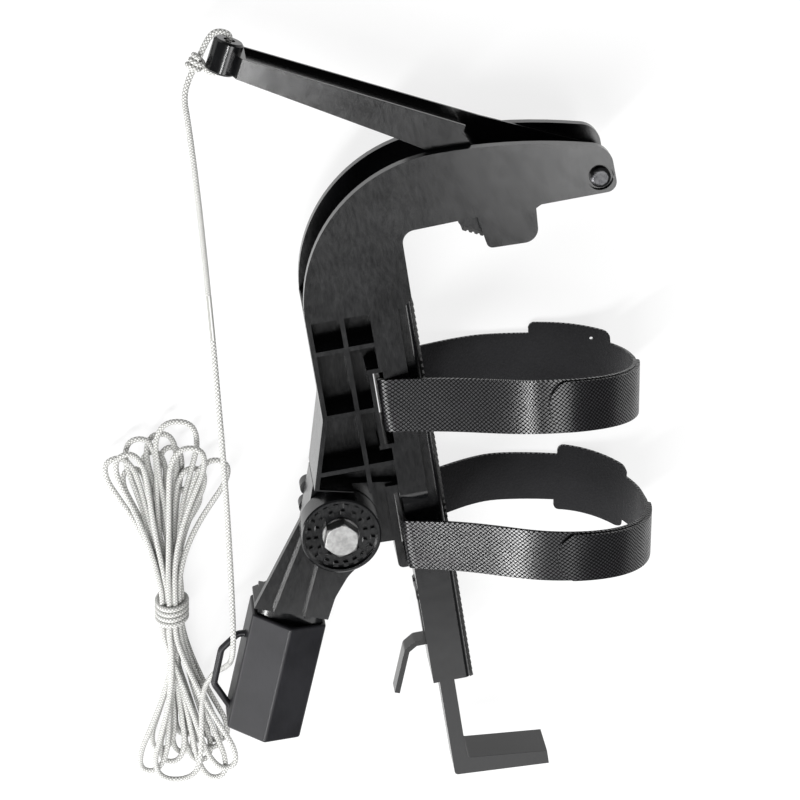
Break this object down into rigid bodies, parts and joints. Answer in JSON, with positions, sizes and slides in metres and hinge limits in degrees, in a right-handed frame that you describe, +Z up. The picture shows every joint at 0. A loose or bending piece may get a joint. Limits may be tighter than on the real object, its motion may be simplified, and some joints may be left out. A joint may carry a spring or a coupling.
{
  "type": "spray can holder for an extension pole",
  "caption": "Tilting pole-mounted spray can holder: curved arm with cord-pulled trigger lever, hook-and-loop can straps, sliding L-shaped can rest and hexagonal pole socket.",
  "frame": {"origin": "centre of the footprint of the tool without its cord, on the surface that it lies on", "axes": "+X towards the front, where the can goes; +Y along the can towards its nozzle; +Z up, off the surface that the holder lies on"},
  "size_m": [0.2325, 0.3368, 0.0797],
  "materials": {
    "black_plastic": "black moulded nylon, satin",
    "knob_plastic": "black moulded plastic",
    "black_rubber": "black soft rubber, ribbed",
    "black_steel": "blackened steel",
    "zinc_steel": "zinc-plated steel",
    "washer_nylon": "black nylon",
    "strap_web": "black hook-and-loop webbing",
    "cord_braid": "light grey braided cord"
  },
  "bodies": {
    "pole_mount": {"pole_yoke": "black_plastic", "socket_sleeve": "black_plastic", "tilt_bolt": "zinc_steel", "bolt_washer": "zinc_steel", "friction_washer": "washer_nylon", "knob_washer": "zinc_steel", "cord_lower": "cord_braid", "cord_hank": "cord_braid", "hank_wraps": "cord_braid"},
    "head": {"body_frame": "black_plastic", "can_grip_strip": "black_rubber", "lever_pivot_pin": "black_steel", "pivot_pin_cap": "black_steel", "upper_strap": "strap_web", "lower_strap": "strap_web", "latch_pin": "zinc_steel"},
    "lever": {"trigger_lever": "black_plastic", "nozzle_pad": "black_rubber", "eye_knot": "cord_braid", "cord_upper": "cord_braid"},
    "rest": {"can_rest": "black_plastic"},
    "latch": {"rest_latch": "black_plastic"},
    "knob": {"star_knob": "knob_plastic", "knob_nut": "zinc_steel"}
  },
  "joints": [
    {"name": "head_tilt", "type": "hinge", "parent": "pole_mount", "child": "head", "pos_m": [-0.0338, -0.0388, 0.035], "axis": [0, 0, 1], "range_deg": [-20, 50], "deforming": ["cord_lower"]},
    {"name": "trigger_pull", "type": "hinge", "parent": "head", "child": "lever", "pos_m": [0.0882, 0.0907, 0.035], "axis": [0, 0, 1], "range_deg": [-18, 22], "deforming": ["cord_upper"]},
    {"name": "can_rest_slide", "type": "slide", "parent": "head", "child": "rest", "axis": [0, -1, 0], "range_m": [-0.036, 0.034]},
    {"name": "latch_release", "type": "hinge", "parent": "head", "child": "latch", "pos_m": [-0.0062, -0.0774, 0.035], "axis": [0, 0, -1], "range_deg": [0, 7], "stiffness_Nm_per_rad": 0.4},
    {"name": "knob_turn", "type": "hinge", "parent": "pole_mount", "child": "knob", "pos_m": [-0.0338, -0.0388, 0.015], "axis": [0, 0, 1], "continuous": true}
  ]
}
